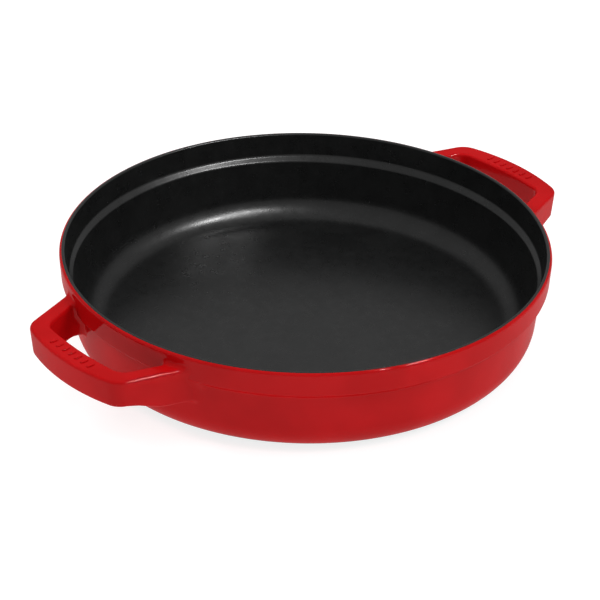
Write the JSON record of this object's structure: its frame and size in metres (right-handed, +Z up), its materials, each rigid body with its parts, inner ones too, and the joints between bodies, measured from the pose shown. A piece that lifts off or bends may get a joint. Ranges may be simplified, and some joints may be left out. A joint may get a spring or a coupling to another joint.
{
  "type": "enamelled cast iron pan with two loop handles",
  "caption": "Shallow round cast iron pan, gloss red enamel outside and matte black inside, stepped band under the rim, opposed angular loop handles.",
  "frame": {"origin": "centre of the base, on the surface that the pan stands on", "axes": "+Z up out of the bowl, +X along the line through the two handles, towards the right handle"},
  "size_m": [0.3216, 0.2598, 0.0525],
  "materials": {
    "iron": "bare sand-cast grey iron, covered by the enamel all over",
    "black_enamel": "matte black cooking enamel, finely textured",
    "base_enamel": "plain black base enamel, satin",
    "red_enamel": "high gloss cherry red enamel"
  },
  "bodies": {
    "root": {"body_casting": "iron", "left_handle_casting": "iron", "right_handle_casting": "iron", "interior_enamel": "black_enamel", "base_enamel": "base_enamel", "exterior_enamel": "red_enamel", "left_handle_enamel": "red_enamel", "right_handle_enamel": "red_enamel", "left_grip_beads": "red_enamel", "right_grip_beads": "red_enamel"}
  },
  "joints": []
}
